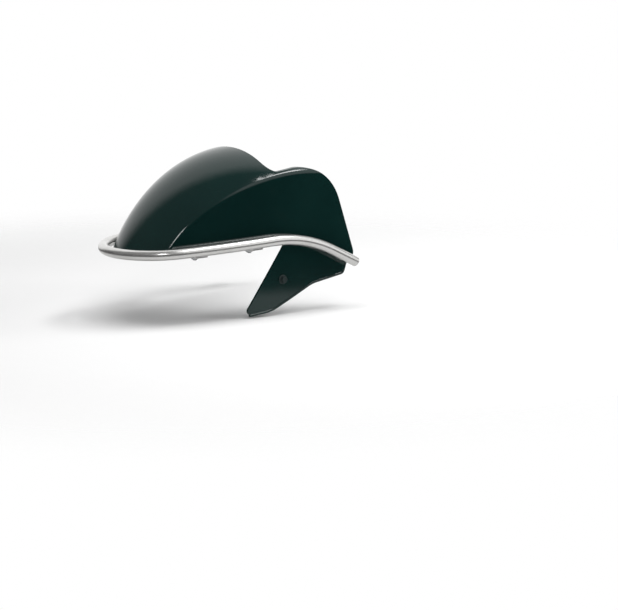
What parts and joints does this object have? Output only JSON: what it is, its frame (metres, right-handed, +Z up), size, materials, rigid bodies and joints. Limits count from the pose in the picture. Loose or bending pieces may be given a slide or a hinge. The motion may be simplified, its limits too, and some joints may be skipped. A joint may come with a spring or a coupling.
{
  "type": "scooter front fender",
  "caption": "Domed scooter front fender with creased cheeks, a skirt tongue on the left and a chromed tube bumper bar round its lower edge.",
  "frame": {"origin": "centre of the four crown bosses, on the plane of their lower faces", "axes": "+X forward to the nose, +Y to the rider's left, +Z up"},
  "size_m": [0.3473, 0.2468, 0.2196],
  "materials": {
    "paint": "very dark green-blue gloss paint under a clear coat, on moulded plastic",
    "chrome": "bright chrome plate on steel tube",
    "rubber": "black rubber",
    "zinc_steel": "zinc-plated steel",
    "brass": "plain brass",
    "dark_steel": "black-coated steel"
  },
  "bodies": {
    "root": {"fender_shell": "paint", "bumper_bar": "chrome", "bar_end_plugs": "chrome", "strap_pads": "rubber", "strap_bolts": "zinc_steel", "strap_washers": "zinc_steel", "strap_nuts": "zinc_steel", "boss_bolts": "zinc_steel", "boss_washers": "zinc_steel", "crown_inserts": "brass", "skirt_bush": "zinc_steel", "skirt_screw": "dark_steel"}
  },
  "joints": []
}
